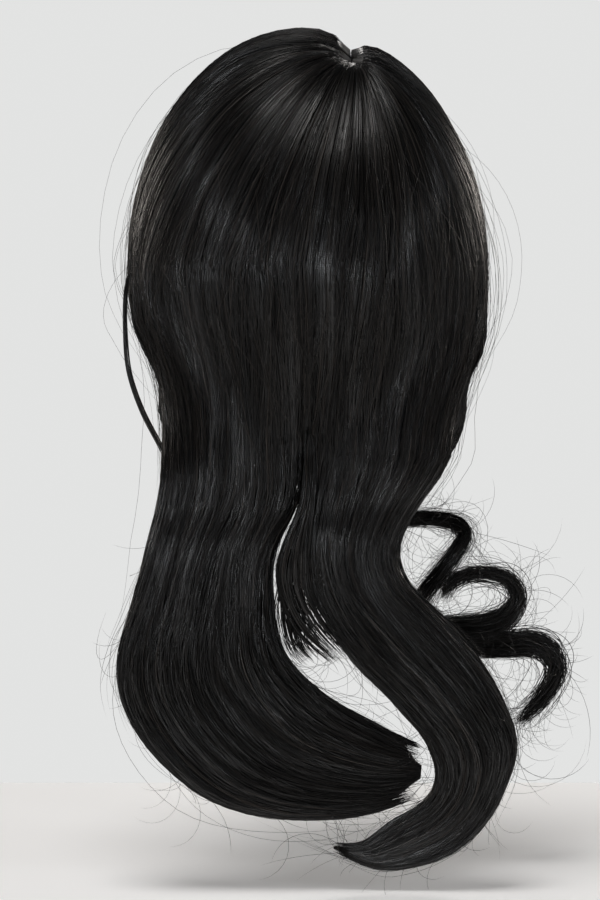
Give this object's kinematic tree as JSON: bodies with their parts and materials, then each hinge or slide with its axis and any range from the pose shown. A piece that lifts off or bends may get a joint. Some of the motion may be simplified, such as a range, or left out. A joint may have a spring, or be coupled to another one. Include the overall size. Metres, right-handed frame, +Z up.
{
  "type": "costume wig",
  "caption": "Long near-black costume wig with a net cap, parted root hair, two long hanging tails, front locks and three curls.",
  "frame": {"origin": "centre of the head opening, level with the headband line", "axes": "+Z up along the head, +Y towards the face, +X to the wearer's right"},
  "size_m": [0.2371, 0.2113, 0.4375],
  "materials": {
    "hair": "smooth synthetic fibre, soft sheen",
    "net": "open net",
    "felt": "matte",
    "skin": "matte",
    "stay_metal": "bare metal",
    "weft_track": "stitched",
    "loop_tape": "woven tape",
    "elastic": "woven elastic",
    "hook_plastic": "satin"
  },
  "bodies": {
    "cap": {"crown_net": "net", "front_band": "felt", "nape_band": "felt", "skin_top": "skin", "ear_tab_left": "felt", "ear_tab_right": "felt", "ear_stay_left": "stay_metal", "ear_stay_right": "stay_metal", "weft_row_1": "weft_track", "weft_row_2": "weft_track", "weft_row_3": "weft_track", "weft_row_4": "weft_track", "weft_row_5": "weft_track", "weft_row_6": "weft_track", "weft_row_7": "weft_track", "weft_row_8": "weft_track", "hook_loops_left": "loop_tape", "hook_loops_right": "loop_tape", "strap_left": "elastic", "strap_right": "elastic", "back_hair_left": "hair", "back_hair_right": "hair", "side_hair_left": "hair", "side_hair_right": "hair", "front_hair_left": "hair", "front_hair_right": "hair", "loose_strand": "hair"},
    "left_tail": {"left_tail": "hair"},
    "right_tail": {"right_tail": "hair", "centre_wisp": "hair"},
    "left_front": {"left_front_lock": "hair"},
    "right_front": {"right_front_lock": "hair", "curl_upper": "hair", "curl_middle": "hair", "curl_lower": "hair"},
    "left_hook": {"hook_left": "hook_plastic"},
    "right_hook": {"hook_right": "hook_plastic"}
  },
  "joints": [
    {"name": "left_tail_swing", "type": "hinge", "parent": "cap", "child": "left_tail", "pos_m": [0, -0.074, -0.097], "axis": [-1, 0, 0], "range_deg": [-5, 25]},
    {"name": "right_tail_swing", "type": "hinge", "parent": "cap", "child": "right_tail", "pos_m": [0, -0.074, -0.097], "axis": [-1, 0, 0], "range_deg": [-5, 25]},
    {"name": "left_front_swing", "type": "hinge", "parent": "cap", "child": "left_front", "pos_m": [0, 0.022, -0.076], "axis": [1, 0, 0], "range_deg": [-6, 22]},
    {"name": "right_front_swing", "type": "hinge", "parent": "cap", "child": "right_front", "pos_m": [0, 0.022, -0.076], "axis": [1, 0, 0], "range_deg": [-6, 22]},
    {"name": "left_hook_slide", "type": "slide", "parent": "cap", "child": "left_hook", "axis": [-0.7455, 0.6665, 0], "range_m": [-0.006, 0.006], "deforming": ["strap_left"]},
    {"name": "right_hook_slide", "type": "slide", "parent": "cap", "child": "right_hook", "axis": [0.7455, 0.6665, 0], "range_m": [-0.006, 0.006], "deforming": ["strap_right"]}
  ]
}
